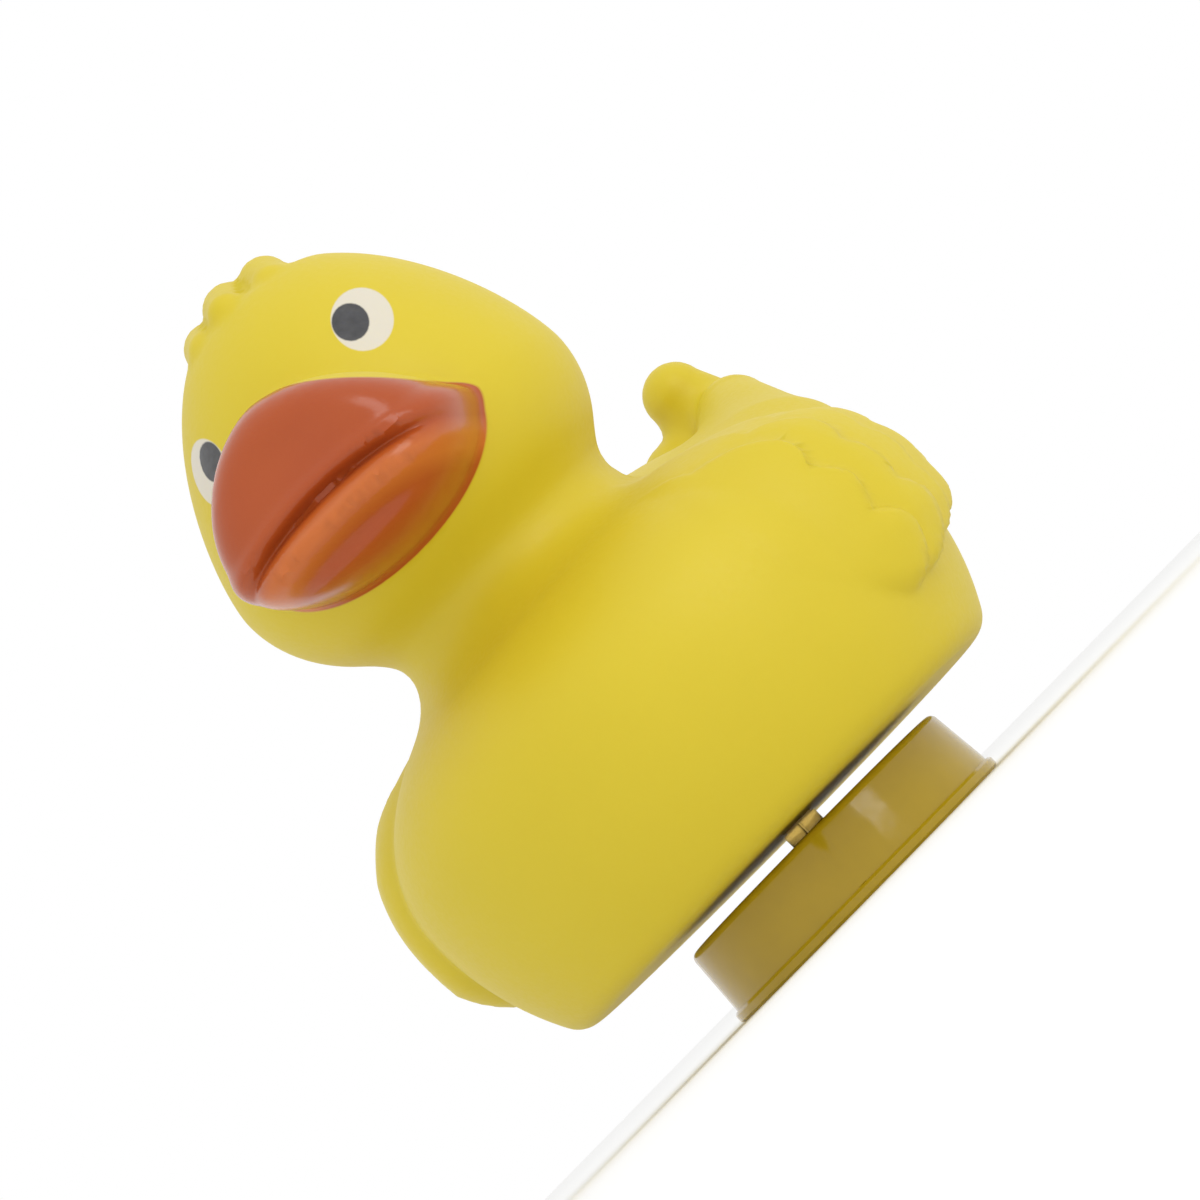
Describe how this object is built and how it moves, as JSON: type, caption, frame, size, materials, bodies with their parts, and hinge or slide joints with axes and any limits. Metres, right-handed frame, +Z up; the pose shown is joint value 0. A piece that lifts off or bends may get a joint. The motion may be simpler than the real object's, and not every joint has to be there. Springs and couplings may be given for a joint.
{
  "type": "rubber duck",
  "caption": "Hollow yellow vinyl bath duck with a turned head, painted bill and eyes, on a round translucent moulded foot with a short stem.",
  "frame": {"origin": "centre of the foot's flat underside", "axes": "+Z up through the foot's stem, the duck's body faces -Y, and +X is the duck's left"},
  "size_m": [0.0906, 0.1271, 0.1115],
  "materials": {
    "yellow_vinyl": "soft satin vinyl with gloss painted bill and eyes",
    "amber_vinyl": "glossy translucent olive-amber vinyl"
  },
  "bodies": {
    "root": {"duck_body": "yellow_vinyl", "foot_plug": "amber_vinyl"}
  },
  "joints": []
}
